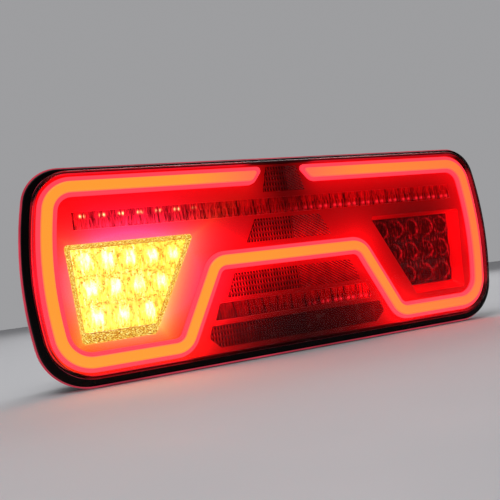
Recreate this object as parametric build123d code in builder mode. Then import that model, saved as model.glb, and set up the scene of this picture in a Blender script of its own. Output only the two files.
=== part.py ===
"""LED combination rear lamp for a trailer, as an assembly of separate pieces. Millimetres.

Frame: +X to the right as seen from in front of the lamp, +Z up, and the lamp faces -Y.
The origin is on the mounting plane, midway between the two studs.
A "level" is a distance in front of the mounting plane, so level 58 is the plane y = -58.
"""
import math
import os

from build123d import *

# ---------------------------------------------------------------- driving dimensions
LAMP_WIDTH = 400.0
LAMP_HEIGHT = 150.0
END_BOW = 11.0  # how far each end bulges outwards over half the height

# levels, from the mounting plane to the front
BACK_WALL = 10.0
SHELL_WALL = 2.5
SHELL_SHOULDER = 48.0
SHELL_FRONT = 54.7
FLANGE_BACK = 55.5
FLANGE_FRONT = 58.0
BEZEL_BACK = 59.0
BEZEL_FRONT = 61.0
STRIP_FRONT = 63.0
GUIDE_FRONT = 65.0
LENS_BACK = 65.5
LENS_FRONT = 68.0
PANEL_FRONT = 52.5
PANEL_BACK = 50.3
CUP_BACK = 36.5
POWER_BOARD = 34.6  # front face of the indicator and reversing boards
MAIN_BOARD = 45.0  # front face of the main board
BOARD_THICK = 1.6

# dome of the outer lens
DOME_HALF_WIDTH = 193.5
DOME_TOP = 71.9
DOME_BOTTOM = -69.2
LENS_WALL = 2.2

# light guide: half widths of the lit bar, of its diffuser and of the trough round both
BAR_HALF = 3.9
DIFFUSER_HALF = 6.7
TROUGH_HALF = 7.6
GUIDE_TOP = 61.0
GUIDE_BOTTOM = -58.0
GUIDE_END = 183.0
GUIDE_BEND_X = 63.2  # where the middle bar turns down
GUIDE_FOOT_X = 93.7  # where the slope meets the bottom bar
GUIDE_BEND_RADIUS = 12.5
GUIDE_TOP_RADIUS = 17.5
GUIDE_BOTTOM_RADIUS = 22.0
GAP_HALF = 19.5  # half the gap between the guide's two ends, at the bar's top edge
GAP_SLOPE = 0.8

# lamp compartments
STOP_HALF, STOP_LOW, STOP_HIGH, STOP_CELLS = 163.0, 31.5, 43.5, 24
FOG_HALF, FOG_LOW, FOG_HIGH, FOG_CELLS = 66.0, -43.0, -31.0, 11
CUP_ROWS = ((5, 10.0), (4, -9.5), (3, -29.0))  # number of cups and height of each row
CUP_RADIUS = 7.3

WINDOW_CORNERS = ((165.0, 19.5), (79.6, 19.5), (111.3, -39.0), (161.0, -39.0))  # of a cup window
RECESS_CORNERS = ((171.0, 22.0), (77.2, 22.0), (114.1, -46.0), (166.0, -46.0))  # of its mouth in the bezel
CUP_NECK = 2.6  # radius of a cup's hole for its diode
CUP_WAIST = 5.6  # radius where a cup's steep part meets its shallow part
WAIST_LEVEL = 41.4
GROOVE_WIDTH = 0.8
GROOVE_DEPTH = 0.6
FLUTE_COUNT = 13
FLUTE_PITCH = 6.0
FLUTE_START = 86.0
WALL = 1.4  # bezel walls round the windows
POCKET_FOOT = 4.4  # square hole for a diode at the bottom of a strip's pocket

# boards and small components
LED_SIZE = 3.0
LED_HEIGHT = 1.4
POWER_LED_SIZE = 3.5
POWER_LED_HEIGHT = 1.5
LED_PITCH = 11.0
TRAY_LIFT = 2.0  # trays and troughs start this far in front of the main board
PLATE_THICK = 1.9
PLATE_SPACE = 2.0  # room behind a power board for its heat plate
POST_RADIUS = 4.0
BEZEL_POST_RADIUS = 3.4
PILOT_RADIUS = 1.3
SCREW_RADIUS = 1.25
SCREW_CLEARANCE = 1.6

# housing details
RIB_LEVEL = 4.0
RIB_THICK = 2.2
BACK_INSET = 9.0  # how far the back stands in from the lamp's outline
SHOULDER_INSET = 3.2
RIM_INSET = 1.2
RIM_WALL = 2.6

# studs, washers and nuts: M8, with the thread as a plain cylinder a little under its crests
STUD_SPACING = 152.0
STUD_BOSS_RADIUS = 16.0
STUD_RADIUS = 4.0
STUD_HEAD_RADIUS = 7.0
STUD_NECK_RADIUS = 5.0
STUD_STEP = 3.0  # thickness of the moulded-in head, and of the neck over it
THREAD_RADIUS = 3.75
STUD_LENGTH = 30.0
SHANK_LENGTH = 3.0
WASHER_REST = 19.5
WASHER_THICK = 1.6
WASHER_RADIUS = 9.0
WASHER_BORE = 4.2
NUT_HEIGHT = 6.5
NUT_FLATS = 13.0
NUT_BORE = 3.95

# rear inlet and vent
INLET_Z = -30.0
INLET_RADIUS = 13.0
INLET_BORE = 10.5
INLET_BACK = 2.0
INLET_LENGTH = 22.0
INLET_DEPTH = 15.0
INLET_FLANGE = 17.5
INLET_FLANGE_LEVEL = 7.0
INLET_FLANGE_THICK = 2.0
LUG_WIDTH, LUG_RISE, LUG_LEVEL, LUG_THICK = 3.0, 2.6, 3.0, 2.2
PIN_CIRCLE = 6.0
PIN_RADIUS = 1.25
PIN_BACK = 10.0
VENT_X = 56.0
VENT_HEAD, VENT_STEM, VENT_BORE = 7.0, 4.0, 2.4

FIT = 0.05  # between pieces pressed or moulded together
CLEAR = 0.2  # general assembly clearance


# ---------------------------------------------------------------- helpers
def level(distance):
    """The sketch plane at this distance in front of the mounting plane: X across, Z up."""
    return Plane.XZ.offset(distance)


def end_x(half_width, z):
    """Where an end that bulges by END_BOW stands at this height."""
    return half_width - END_BOW * (z / (LAMP_HEIGHT / 2)) ** 2


def bowed_outline(half_width, top, bottom, top_radius, bottom_radius):
    """Straight top and bottom, bulging ends and rounded corners."""
    with BuildSketch() as result:
        with BuildLine():
            upper, lower = end_x(half_width, top), end_x(half_width, bottom)
            Line((-upper, top), (upper, top))
            ThreePointArc((upper, top), (half_width, 0), (lower, bottom))
            Line((lower, bottom), (-lower, bottom))
            ThreePointArc((-lower, bottom), (-half_width, 0), (-upper, top))
        make_face()
        fillet(result.vertices().group_by(Axis.Y)[-1], top_radius)
        fillet(result.vertices().group_by(Axis.Y)[0], bottom_radius)
    return result.sketch


def grown(sketch, amount):
    """A copy of a sketch with its edge moved outwards by this amount."""
    with BuildSketch() as result:
        add(sketch)
        offset(amount=amount, mode=Mode.REPLACE)
    return result.sketch


def polygon(points, radius=0.0):
    """A closed outline through these points, with its corners rounded."""
    with BuildSketch() as result:
        with BuildLine():
            Polyline(*points, close=True)
        make_face()
        if radius:
            fillet(result.vertices(), radius)
    return result.sketch


def band(half_width):
    """The light guide's route as a flat band this wide on each side of its centre line."""
    with BuildSketch() as result:
        add(grown(guide_loop, half_width))
        add(grown(guide_loop, -half_width), mode=Mode.SUBTRACT)
        reach = 12.0
        near = GAP_HALF - (half_width - BAR_HALF)
        edge = [near + GAP_SLOPE * (GUIDE_TOP + BAR_HALF - z) for z in (GUIDE_TOP + reach, GUIDE_TOP - reach)]
        gap = polygon(
            [
                (-edge[0], GUIDE_TOP + reach),
                (edge[0], GUIDE_TOP + reach),
                (edge[1], GUIDE_TOP - reach),
                (-edge[1], GUIDE_TOP - reach),
            ]
        )
        add(gap, mode=Mode.SUBTRACT)
        ends = result.vertices().filter_by_position(Axis.X, -edge[1], edge[1])
        ends = ends.filter_by_position(Axis.Y, GUIDE_TOP - reach, GUIDE_TOP + reach)
        fillet(ends.group_by(Axis.Y)[0], 1.3 * half_width)
        ends = result.vertices().filter_by_position(Axis.X, -GAP_HALF - 2, GAP_HALF + 2)
        ends = ends.filter_by_position(Axis.Y, GUIDE_TOP, GUIDE_TOP + reach)
        fillet(ends, 0.45 * half_width)
    return result.sketch


def panel_outline(side, grow=0.0):
    """The four-sided window of the indicator (side -1) or the reversing lamp (side 1)."""
    return grown(polygon([(side * x, z) for x, z in WINDOW_CORNERS], 1.5), grow)


def recess_outline(side, grow=0.0):
    """The wider mouth of the same window at the bezel's face."""
    return grown(polygon([(side * x, z) for x, z in RECESS_CORNERS], 2.5), grow)


def cup_places(side):
    """The centres of a panel's reflector cups, each row spread over the window's width there."""
    (outer_top, top), (inner_top, _), (inner_foot, foot), (outer_foot, _) = WINDOW_CORNERS
    places = []
    for count, z in CUP_ROWS:
        drop = (top - z) / (top - foot)
        inner = inner_top + drop * (inner_foot - inner_top)
        outer = outer_top + drop * (outer_foot - outer_top)
        pitch = (outer - inner) / count
        places += [(side * (inner + pitch * (i + 0.5)), z) for i in range(count)]
    return places


def cell_places(half, low, high, count):
    """The centres of a strip's cells."""
    pitch = 2 * half / count
    return [(-half + pitch * (i + 0.5), (low + high) / 2) for i in range(count)]


def finish(builder, name):
    """Name a finished piece and write its file."""
    builder.part.label = name
    export_step(builder.part, f"parts/{name}.step")


os.makedirs("parts", exist_ok=True)

# ---------------------------------------------------------------- shared outlines
lamp_outline = bowed_outline(LAMP_WIDTH / 2, LAMP_HEIGHT / 2, -LAMP_HEIGHT / 2, 26.4, 36.0)
dome_outline = bowed_outline(DOME_HALF_WIDTH, DOME_TOP, DOME_BOTTOM, 25.5, 33.5)

with BuildSketch() as guide_face:
    with BuildLine():
        top_x, foot_x = end_x(GUIDE_END, GUIDE_TOP), end_x(GUIDE_END, GUIDE_BOTTOM)
        Line((-top_x, GUIDE_TOP), (top_x, GUIDE_TOP))
        ThreePointArc((top_x, GUIDE_TOP), (GUIDE_END, 0), (foot_x, GUIDE_BOTTOM))
        Polyline(
            (foot_x, GUIDE_BOTTOM),
            (GUIDE_FOOT_X, GUIDE_BOTTOM),
            (GUIDE_BEND_X, 0),
            (-GUIDE_BEND_X, 0),
            (-GUIDE_FOOT_X, GUIDE_BOTTOM),
            (-foot_x, GUIDE_BOTTOM),
        )
        ThreePointArc((-foot_x, GUIDE_BOTTOM), (-GUIDE_END, 0), (-top_x, GUIDE_TOP))
    make_face()
    corners = guide_face.vertices()
    fillet(corners.filter_by_position(Axis.X, -100, 100), GUIDE_BEND_RADIUS)
    upper_corners = guide_face.vertices().filter_by_position(Axis.Y, GUIDE_TOP - 1, GUIDE_TOP + 1)
    fillet(upper_corners, GUIDE_TOP_RADIUS)
    lower_corners = guide_face.vertices().filter_by_position(Axis.Y, GUIDE_BOTTOM - 1, GUIDE_BOTTOM + 1)
    fillet(lower_corners.filter_by(lambda v: abs(v.X) > 150), GUIDE_BOTTOM_RADIUS)
guide_loop = guide_face.sketch

REFLEX_ZONES = {
    "reflex_top": polygon([(-13, 67), (13, 67), (18, 48), (-18, 48)], 1.2),
    "reflex_upper": polygon([(-28, 28), (28, 28), (37, 11), (-37, 11)], 1.2),
    "reflex_middle": polygon([(-50, -10.5), (50, -10.5), (58, -27.5), (-58, -27.5)], 1.2),
    "reflex_lower": polygon([(-73, -46.5), (73, -46.5), (76, -55), (68, -62.5), (-68, -62.5), (-76, -55)], 3.0),
}
stop_window = polygon(
    [(-STOP_HALF, STOP_LOW), (STOP_HALF, STOP_LOW), (STOP_HALF, STOP_HIGH), (-STOP_HALF, STOP_HIGH)], 1.0
)
fog_window = polygon(
    [(-FOG_HALF - 3, FOG_LOW), (FOG_HALF + 3, FOG_LOW), (FOG_HALF - 2, FOG_HIGH), (2 - FOG_HALF, FOG_HIGH)], 1.0
)
stud_places = [(-STUD_SPACING / 2, 0), (STUD_SPACING / 2, 0)]
pin_places = [(0, INLET_Z)] + [
    (PIN_CIRCLE * math.cos(math.radians(a)), INLET_Z + PIN_CIRCLE * math.sin(math.radians(a)))
    for a in (45, 135, 225, 315)
]
board_boss_places = [(-60, 48.6), (60, 48.6), (-140, 48.6), (140, 48.6), (-34, -55), (34, -55)]
power_boss_places = [(s * x, z) for s in (-1, 1) for x, z in ((156, 26.5), (92, 26.5), (136, -46.0))]

# ---------------------------------------------------------------- rear housing
with BuildPart() as rear_housing:
    with BuildSketch(level(SHELL_SHOULDER)):
        add(grown(lamp_outline, -RIM_INSET))
    extrude(amount=SHELL_FRONT - SHELL_SHOULDER)
    with BuildSketch(level(SHELL_SHOULDER)):
        add(grown(lamp_outline, -SHOULDER_INSET))
    with BuildSketch(level(BACK_WALL)):
        add(grown(lamp_outline, -BACK_INSET))
    loft(ruled=True)
    back_edges = rear_housing.edges().group_by(Axis.Y)[-1]
    fillet(back_edges, 4.0)
    with BuildSketch(level(SHELL_FRONT)):
        add(grown(lamp_outline, -RIM_INSET - RIM_WALL))
    with BuildSketch(level(SHELL_SHOULDER - 1.0)):
        add(grown(lamp_outline, -SHOULDER_INSET - SHELL_WALL))
    loft(ruled=True, mode=Mode.SUBTRACT)
    with BuildSketch(level(SHELL_SHOULDER - 1.0)):
        add(grown(lamp_outline, -SHOULDER_INSET - SHELL_WALL))
    with BuildSketch(level(BACK_WALL + SHELL_WALL)):
        add(grown(lamp_outline, -BACK_INSET - SHELL_WALL))
    loft(ruled=True, mode=Mode.SUBTRACT)
    # stud bosses reach the mounting plane, ribs stop short of it
    with BuildSketch(level(0)):
        with Locations(*stud_places):
            Circle(STUD_BOSS_RADIUS)
    extrude(amount=BACK_WALL + 1.0)
    with BuildSketch(level(RIB_LEVEL)):
        with Locations((-150, 0), (-112, 0), (-38, 0), (38, 0), (112, 0), (150, 0)):
            Rectangle(RIB_THICK, 104)
        with Locations((0, 34), (0, -6)):
            Rectangle(318, RIB_THICK)
        with Locations((-95, -46), (95, -46)):
            Rectangle(112, RIB_THICK)
        with Locations((0, INLET_Z)):
            Circle(INLET_FLANGE + 2.5, mode=Mode.SUBTRACT)
        with Locations((VENT_X, INLET_Z)):
            Circle(VENT_HEAD + 1.6, mode=Mode.SUBTRACT)
    extrude(amount=BACK_WALL - RIB_LEVEL)
    # posts for the boards
    with BuildSketch(level(BACK_WALL)):
        with Locations(*board_boss_places):
            Circle(POST_RADIUS)
    extrude(amount=MAIN_BOARD - BOARD_THICK - BACK_WALL)
    with BuildSketch(level(BACK_WALL)):
        with Locations(*power_boss_places):
            Circle(POST_RADIUS)
    extrude(amount=POWER_BOARD - BOARD_THICK - PLATE_SPACE - BACK_WALL)
    with BuildSketch(level(MAIN_BOARD - BOARD_THICK)):
        with Locations(*board_boss_places):
            Circle(PILOT_RADIUS)
    extrude(amount=-12.0, mode=Mode.SUBTRACT)
    with BuildSketch(level(POWER_BOARD - BOARD_THICK - PLATE_SPACE)):
        with Locations(*power_boss_places):
            Circle(PILOT_RADIUS)
    extrude(amount=-8.0, mode=Mode.SUBTRACT)
    # seats of the moulded-in studs
    with BuildSketch(level(0)):
        with Locations(*stud_places):
            Circle(STUD_NECK_RADIUS + FIT)
    extrude(amount=STUD_STEP, mode=Mode.SUBTRACT)
    with BuildSketch(level(STUD_STEP)):
        with Locations(*stud_places):
            Circle(STUD_HEAD_RADIUS + FIT)
    extrude(amount=STUD_STEP + 2 * FIT, mode=Mode.SUBTRACT)
    # holes for the inlet and the vent
    with BuildSketch(level(0)):
        with Locations((0, INLET_Z)):
            Circle(INLET_RADIUS + CLEAR)
        with Locations((VENT_X, INLET_Z)):
            Circle(VENT_STEM + CLEAR)
    extrude(amount=BACK_WALL + SHELL_WALL + 1, mode=Mode.SUBTRACT)
finish(rear_housing, "rear_housing")

with BuildPart() as lens_seal:
    with BuildSketch(level(SHELL_FRONT)):
        add(grown(lamp_outline, -1.4))
        add(grown(lamp_outline, -3.6), mode=Mode.SUBTRACT)
    extrude(amount=FLANGE_BACK - SHELL_FRONT)
finish(lens_seal, "lens_seal")

# ---------------------------------------------------------------- outer lens and its black frame
with BuildPart() as outer_lens:
    with BuildSketch(level(FLANGE_BACK)):
        add(lamp_outline)
    extrude(amount=FLANGE_FRONT - FLANGE_BACK)
    with BuildSketch(level(FLANGE_FRONT)):
        add(dome_outline)
    extrude(amount=LENS_FRONT - FLANGE_FRONT)
    fillet(outer_lens.edges().group_by(Axis.Y)[0], 5.0)
    with BuildSketch(level(FLANGE_BACK)):
        add(grown(dome_outline, -LENS_WALL))
    extrude(amount=LENS_BACK - FLANGE_BACK, mode=Mode.SUBTRACT)
finish(outer_lens, "outer_lens")

with BuildPart() as trim_frame:
    with BuildSketch(level(FLANGE_FRONT)):
        add(grown(lamp_outline, -1.1))
    extrude(amount=BEZEL_FRONT - FLANGE_FRONT)
    fillet(trim_frame.edges().group_by(Axis.Y)[0], 1.2)
    with BuildSketch(level(FLANGE_FRONT)):
        add(grown(dome_outline, 0.25))
    extrude(amount=BEZEL_FRONT - FLANGE_FRONT, mode=Mode.SUBTRACT)
finish(trim_frame, "trim_frame")

# ---------------------------------------------------------------- inner bezel
with BuildPart() as inner_bezel:
    with BuildSketch(level(BEZEL_BACK)):
        add(grown(dome_outline, -LENS_WALL - 0.4))
    extrude(amount=BEZEL_FRONT - BEZEL_BACK)
    with BuildSketch(level(MAIN_BOARD + TRAY_LIFT)):
        add(band(TROUGH_HALF))
    extrude(amount=BEZEL_FRONT - MAIN_BOARD - TRAY_LIFT)
    for side in (-1, 1):
        with BuildSketch(level(PANEL_BACK)):
            add(panel_outline(side, WALL))
        with BuildSketch(level(BEZEL_FRONT)):
            add(recess_outline(side, WALL))
        loft(ruled=True)
    for zone in REFLEX_ZONES.values():
        with BuildSketch(level(BEZEL_FRONT)):
            add(grown(zone, -0.8))
        extrude(amount=2.0)
    for window in (stop_window, fog_window):
        with BuildSketch(level(BEZEL_BACK - 4.0)):
            add(grown(window, 1.6))
        extrude(amount=4.0)
    for side in (-1, 1):
        with BuildSketch(level(PANEL_BACK)):
            add(panel_outline(side, 0.1))
        with BuildSketch(level(BEZEL_FRONT)):
            add(recess_outline(side))
        loft(ruled=True, mode=Mode.SUBTRACT)
    with BuildSketch(level(MAIN_BOARD)):
        add(band(DIFFUSER_HALF + 0.1))
    extrude(amount=LENS_FRONT - MAIN_BOARD, mode=Mode.SUBTRACT)
    for window in (stop_window, fog_window):
        with BuildSketch(level(MAIN_BOARD)):
            add(grown(window, CLEAR))
        extrude(amount=LENS_FRONT - MAIN_BOARD, mode=Mode.SUBTRACT)
    # screw posts that stand on the main board
    with BuildSketch(level(MAIN_BOARD)):
        with Locations(*board_boss_places):
            Circle(BEZEL_POST_RADIUS)
    extrude(amount=BEZEL_BACK - MAIN_BOARD)
    with BuildSketch(level(MAIN_BOARD)):
        with Locations(*board_boss_places):
            Circle(PILOT_RADIUS)
    extrude(amount=10.0, mode=Mode.SUBTRACT)
finish(inner_bezel, "inner_bezel")

# ---------------------------------------------------------------- light guide and diffuser
with BuildPart() as light_guide:
    with BuildSketch(level(MAIN_BOARD + 6.0)):
        add(band(BAR_HALF))
    extrude(amount=GUIDE_FRONT - MAIN_BOARD - 6.0)
    fillet(light_guide.edges().group_by(Axis.Y)[0], 1.6)
finish(light_guide, "light_guide")

with BuildPart() as guide_diffuser:
    with BuildSketch(level(MAIN_BOARD + 4.0)):
        add(band(DIFFUSER_HALF))
    extrude(amount=STRIP_FRONT - MAIN_BOARD - 4.0)
    with BuildSketch(level(MAIN_BOARD + 4.0)):
        add(band(BAR_HALF + 0.1))
    extrude(amount=STRIP_FRONT - MAIN_BOARD - 4.0, mode=Mode.SUBTRACT)
finish(guide_diffuser, "guide_diffuser")

# ---------------------------------------------------------------- reflex reflectors
for name, zone in REFLEX_ZONES.items():
    with BuildPart() as reflex:
        with BuildSketch(level(BEZEL_FRONT)):
            add(zone)
        extrude(amount=GUIDE_FRONT - BEZEL_FRONT)
        with BuildSketch(level(BEZEL_FRONT)):
            add(grown(zone, -0.75))
        extrude(amount=2.1, mode=Mode.SUBTRACT)
        chamfer(reflex.edges().group_by(Axis.Y)[0], 0.4)
    finish(reflex, name)


# ---------------------------------------------------------------- stop and fog strips
def strip_optic(window, half, low, high, count):
    """A clear bar of cells, each with a shallow cylindrical lens across it."""
    pitch = 2 * half / count
    with BuildPart() as optic:
        with BuildSketch(level(BEZEL_FRONT)):
            add(window)
        extrude(amount=STRIP_FRONT - BEZEL_FRONT)
        for x, z in cell_places(half, low, high, count)[1:]:
            with BuildSketch(level(STRIP_FRONT)):
                with Locations((x - pitch / 2, z)):
                    Rectangle(GROOVE_WIDTH, high - low)
            extrude(amount=-GROOVE_DEPTH, mode=Mode.SUBTRACT)
    return optic


def strip_tray(window, half, low, high, count):
    """The reflector behind a strip, with one tapered pocket for each cell."""
    pitch = 2 * half / count
    depth = BEZEL_FRONT - MAIN_BOARD - TRAY_LIFT - CLEAR
    with BuildPart() as tray:
        with BuildSketch(level(MAIN_BOARD + TRAY_LIFT)):
            add(window)
        extrude(amount=depth)
        for x, z in cell_places(half, low, high, count):
            with BuildSketch(level(MAIN_BOARD + TRAY_LIFT)):
                with Locations((x, z)):
                    Rectangle(POCKET_FOOT, POCKET_FOOT)
            with BuildSketch(level(MAIN_BOARD + TRAY_LIFT + depth)):
                with Locations((x, z)):
                    Rectangle(pitch - 1.6, high - low - 2.0)
            loft(ruled=True, mode=Mode.SUBTRACT)
    return tray


def small_blocks(places, base, width, height, thick):
    """Identical blocks, such as light-emitting diodes, standing on one level."""
    with BuildPart() as blocks:
        with BuildSketch(level(base)):
            with Locations(*places):
                Rectangle(width, height)
        extrude(amount=thick)
    return blocks


fog_cell_half = FOG_HALF - 3
stop_cells = cell_places(STOP_HALF, STOP_LOW, STOP_HIGH, STOP_CELLS)
fog_cells = cell_places(fog_cell_half, FOG_LOW, FOG_HIGH, FOG_CELLS)
finish(strip_optic(stop_window, STOP_HALF, STOP_LOW, STOP_HIGH, STOP_CELLS), "stop_optic")
finish(strip_tray(stop_window, STOP_HALF, STOP_LOW, STOP_HIGH, STOP_CELLS), "stop_tray")
finish(small_blocks(stop_cells, MAIN_BOARD, LED_SIZE, LED_SIZE, LED_HEIGHT), "stop_leds")
finish(strip_optic(fog_window, fog_cell_half, FOG_LOW, FOG_HIGH, FOG_CELLS), "fog_optic")
finish(strip_tray(fog_window, fog_cell_half, FOG_LOW, FOG_HIGH, FOG_CELLS), "fog_tray")
finish(small_blocks(fog_cells, MAIN_BOARD, LED_SIZE, LED_SIZE, LED_HEIGHT), "fog_leds")


# ---------------------------------------------------------------- indicator and reversing lamp
def panel_lens(side):
    """The inner lens: a plate with a row of upright flutes on its front."""
    with BuildPart() as lens:
        with BuildSketch(level(PANEL_BACK)):
            add(panel_outline(side, -CLEAR))
        extrude(amount=PANEL_FRONT - PANEL_BACK)
        for i in range(FLUTE_COUNT):
            with BuildSketch(level(PANEL_FRONT)):
                with Locations((side * (FLUTE_START + FLUTE_PITCH * i), -10)):
                    Rectangle(GROOVE_WIDTH, 70)
            extrude(amount=-GROOVE_DEPTH, mode=Mode.SUBTRACT)
    return lens


def panel_reflector(side):
    """A block of round reflector cups, one for each diode."""
    with BuildPart() as reflector:
        with BuildSketch(level(CUP_BACK)):
            add(panel_outline(side, -CLEAR))
        extrude(amount=PANEL_BACK - CUP_BACK)
        for place in cup_places(side):
            with BuildSketch(level(CUP_BACK)):
                with Locations(place):
                    Circle(CUP_NECK)
            with BuildSketch(level(WAIST_LEVEL)):
                with Locations(place):
                    Circle(CUP_WAIST)
            loft(ruled=True, mode=Mode.SUBTRACT)
            with BuildSketch(level(WAIST_LEVEL)):
                with Locations(place):
                    Circle(CUP_WAIST)
            with BuildSketch(level(PANEL_BACK)):
                with Locations(place):
                    Circle(CUP_RADIUS)
            loft(ruled=True, mode=Mode.SUBTRACT)
    return reflector


def power_board(side):
    """The board behind a panel, screwed to its three posts with the heat plate under it."""
    with BuildPart() as board:
        with BuildSketch(level(POWER_BOARD - BOARD_THICK)):
            add(recess_outline(side, 6.0))
            with Locations(*[p for p in power_boss_places if p[0] * side > 0]):
                Circle(SCREW_CLEARANCE, mode=Mode.SUBTRACT)
        extrude(amount=BOARD_THICK)
    return board


for side, name in ((-1, "indicator"), (1, "reverse")):
    finish(panel_lens(side), f"{name}_lens")
    finish(panel_reflector(side), f"{name}_reflector")
    finish(power_board(side), f"{name}_board")
    leds = small_blocks(cup_places(side), POWER_BOARD, POWER_LED_SIZE, POWER_LED_SIZE, POWER_LED_HEIGHT)
    finish(leds, f"{name}_leds")

with BuildPart() as heat_plates:
    with BuildSketch(level(POWER_BOARD - BOARD_THICK - PLATE_SPACE)):
        for side in (-1, 1):
            add(recess_outline(side, 4.0))
        with Locations(*power_boss_places):
            Circle(SCREW_CLEARANCE, mode=Mode.SUBTRACT)
    extrude(amount=PLATE_THICK)
finish(heat_plates, "heat_plates")

# ---------------------------------------------------------------- main board and what stands on it
with BuildPart() as main_board:
    with BuildSketch(level(MAIN_BOARD - BOARD_THICK)):
        add(grown(lamp_outline, -9.5))
        for side in (-1, 1):
            add(panel_outline(side, 3.0), mode=Mode.SUBTRACT)
        with Locations(*board_boss_places):
            Circle(SCREW_CLEARANCE, mode=Mode.SUBTRACT)
        with Locations(*pin_places):
            Circle(PIN_RADIUS + 2 * FIT, mode=Mode.SUBTRACT)
    extrude(amount=BOARD_THICK)
finish(main_board, "main_board")

guide_wire = guide_loop.wires()[0]
led_count = round(guide_wire.length / LED_PITCH)
tail_places = [guide_wire.position_at(i / led_count) for i in range(led_count)]
tail_places = [(p.X, p.Y) for p in tail_places if p.Y < GUIDE_TOP - 5 or abs(p.X) > GAP_HALF + 8]
finish(small_blocks(tail_places, MAIN_BOARD, LED_SIZE, LED_SIZE, LED_HEIGHT), "tail_leds")

chip_places = [(-46, 16), (-22, 16), (22, 16), (46, 16), (-60, 34), (60, 34)]
finish(small_blocks(chip_places, MAIN_BOARD - BOARD_THICK - 2.0, 9.0, 7.0, 2.0), "driver_chips")
finish(small_blocks([(-14, -10), (14, -10)], MAIN_BOARD - BOARD_THICK - 7.0, 12.0, 12.0, 7.0), "choke_coils")

with BuildPart() as capacitors:
    with BuildSketch(level(MAIN_BOARD - BOARD_THICK)):
        with Locations((-40, -4), (40, -4), (0, 40)):
            Circle(5.0)
    extrude(amount=-12.0)
    fillet(capacitors.edges().group_by(Axis.Y)[-1], 0.8)
finish(capacitors, "capacitors")


def pan_screws(places, seat, shank, radius):
    """Round-headed screws whose heads bear on this level."""
    with BuildPart() as screws:
        with BuildSketch(level(seat)):
            with Locations(*places):
                Circle(radius * 2.2)
        extrude(amount=radius * 1.4)
        fillet(screws.edges().group_by(Axis.Y)[0], radius * 0.7)
        with BuildSketch(level(seat)):
            with Locations(*places):
                Circle(radius)
        extrude(amount=-shank)
    return screws


finish(pan_screws(power_boss_places, POWER_BOARD, 10.0, SCREW_RADIUS), "board_screws")

with BuildPart() as bezel_screws:
    with BuildSketch(level(MAIN_BOARD + 8.0)):
        with Locations(*board_boss_places):
            Circle(SCREW_RADIUS)
    extrude(amount=-18.0)
finish(bezel_screws, "bezel_screws")

# ---------------------------------------------------------------- electrical inlet
with BuildPart() as inlet_socket:
    with BuildSketch(level(INLET_BACK)):
        with Locations((0, INLET_Z)):
            Circle(INLET_RADIUS)
    extrude(amount=INLET_LENGTH)
    with BuildSketch(level(INLET_FLANGE_LEVEL)):
        with Locations((0, INLET_Z)):
            Circle(INLET_FLANGE)
    extrude(amount=INLET_FLANGE_THICK)
    with BuildSketch(level(LUG_LEVEL)):
        for angle in (90, 210, 330):
            with Locations((0, INLET_Z)):
                with PolarLocations(INLET_RADIUS + LUG_RISE / 4, 1, start_angle=angle):
                    Rectangle(LUG_RISE, LUG_WIDTH)
    extrude(amount=LUG_THICK)
    with BuildSketch(level(INLET_BACK)):
        with Locations((0, INLET_Z)):
            Circle(INLET_BORE)
    extrude(amount=INLET_DEPTH, mode=Mode.SUBTRACT)
    with BuildSketch(level(INLET_BACK)):
        with Locations(*pin_places):
            Circle(PIN_RADIUS + FIT)
    extrude(amount=INLET_LENGTH + 1, mode=Mode.SUBTRACT)
    chamfer(inlet_socket.edges().group_by(Axis.Y)[-1], 0.6)
finish(inlet_socket, "inlet_socket")

with BuildPart() as inlet_contacts:
    with BuildSketch(level(PIN_BACK)):
        with Locations(*pin_places):
            Circle(PIN_RADIUS)
    extrude(amount=MAIN_BOARD + 1.0 - PIN_BACK)
    fillet(inlet_contacts.edges().group_by(Axis.Y)[-1], 0.8)
finish(inlet_contacts, "inlet_contacts")

with BuildPart() as inlet_seal:
    with BuildSketch(level(INLET_FLANGE_LEVEL + INLET_FLANGE_THICK)):
        with Locations((0, INLET_Z)):
            Circle(INLET_FLANGE - 0.5)
            Circle(INLET_RADIUS + CLEAR, mode=Mode.SUBTRACT)
    extrude(amount=1.0)
finish(inlet_seal, "inlet_seal")

with BuildPart() as inlet_nut:
    with BuildSketch(level(BACK_WALL + SHELL_WALL)):
        with Locations((0, INLET_Z)):
            RegularPolygon(radius=18.5, side_count=6)
            Circle(INLET_RADIUS + CLEAR, mode=Mode.SUBTRACT)
    extrude(amount=5.0)
finish(inlet_nut, "inlet_nut")

# ---------------------------------------------------------------- breather vent
with BuildPart() as vent_plug:
    with BuildSketch(level(BACK_WALL - 3.5)):
        with Locations((VENT_X, INLET_Z)):
            Circle(VENT_HEAD)
    extrude(amount=3.5)
    with BuildSketch(level(BACK_WALL)):
        with Locations((VENT_X, INLET_Z)):
            Circle(VENT_STEM)
    extrude(amount=5.0)
    with BuildSketch(level(BACK_WALL - 2.0)):
        with Locations((VENT_X, INLET_Z)):
            Circle(VENT_BORE)
    extrude(amount=8.0, mode=Mode.SUBTRACT)
    fillet(vent_plug.edges().group_by(Axis.Y)[-1], 1.0)
    with BuildSketch(level(BACK_WALL - 1.4)):
        with Locations((VENT_X, INLET_Z)):
            Rectangle(16, 1.2)
            Rectangle(1.2, 16)
    extrude(amount=0.8, mode=Mode.SUBTRACT)
finish(vent_plug, "vent_plug")

with BuildPart() as vent_membrane:
    with BuildSketch(level(BACK_WALL + 2.0)):
        with Locations((VENT_X, INLET_Z)):
            Circle(VENT_BORE - FIT)
    extrude(amount=0.4)
finish(vent_membrane, "vent_membrane")

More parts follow.
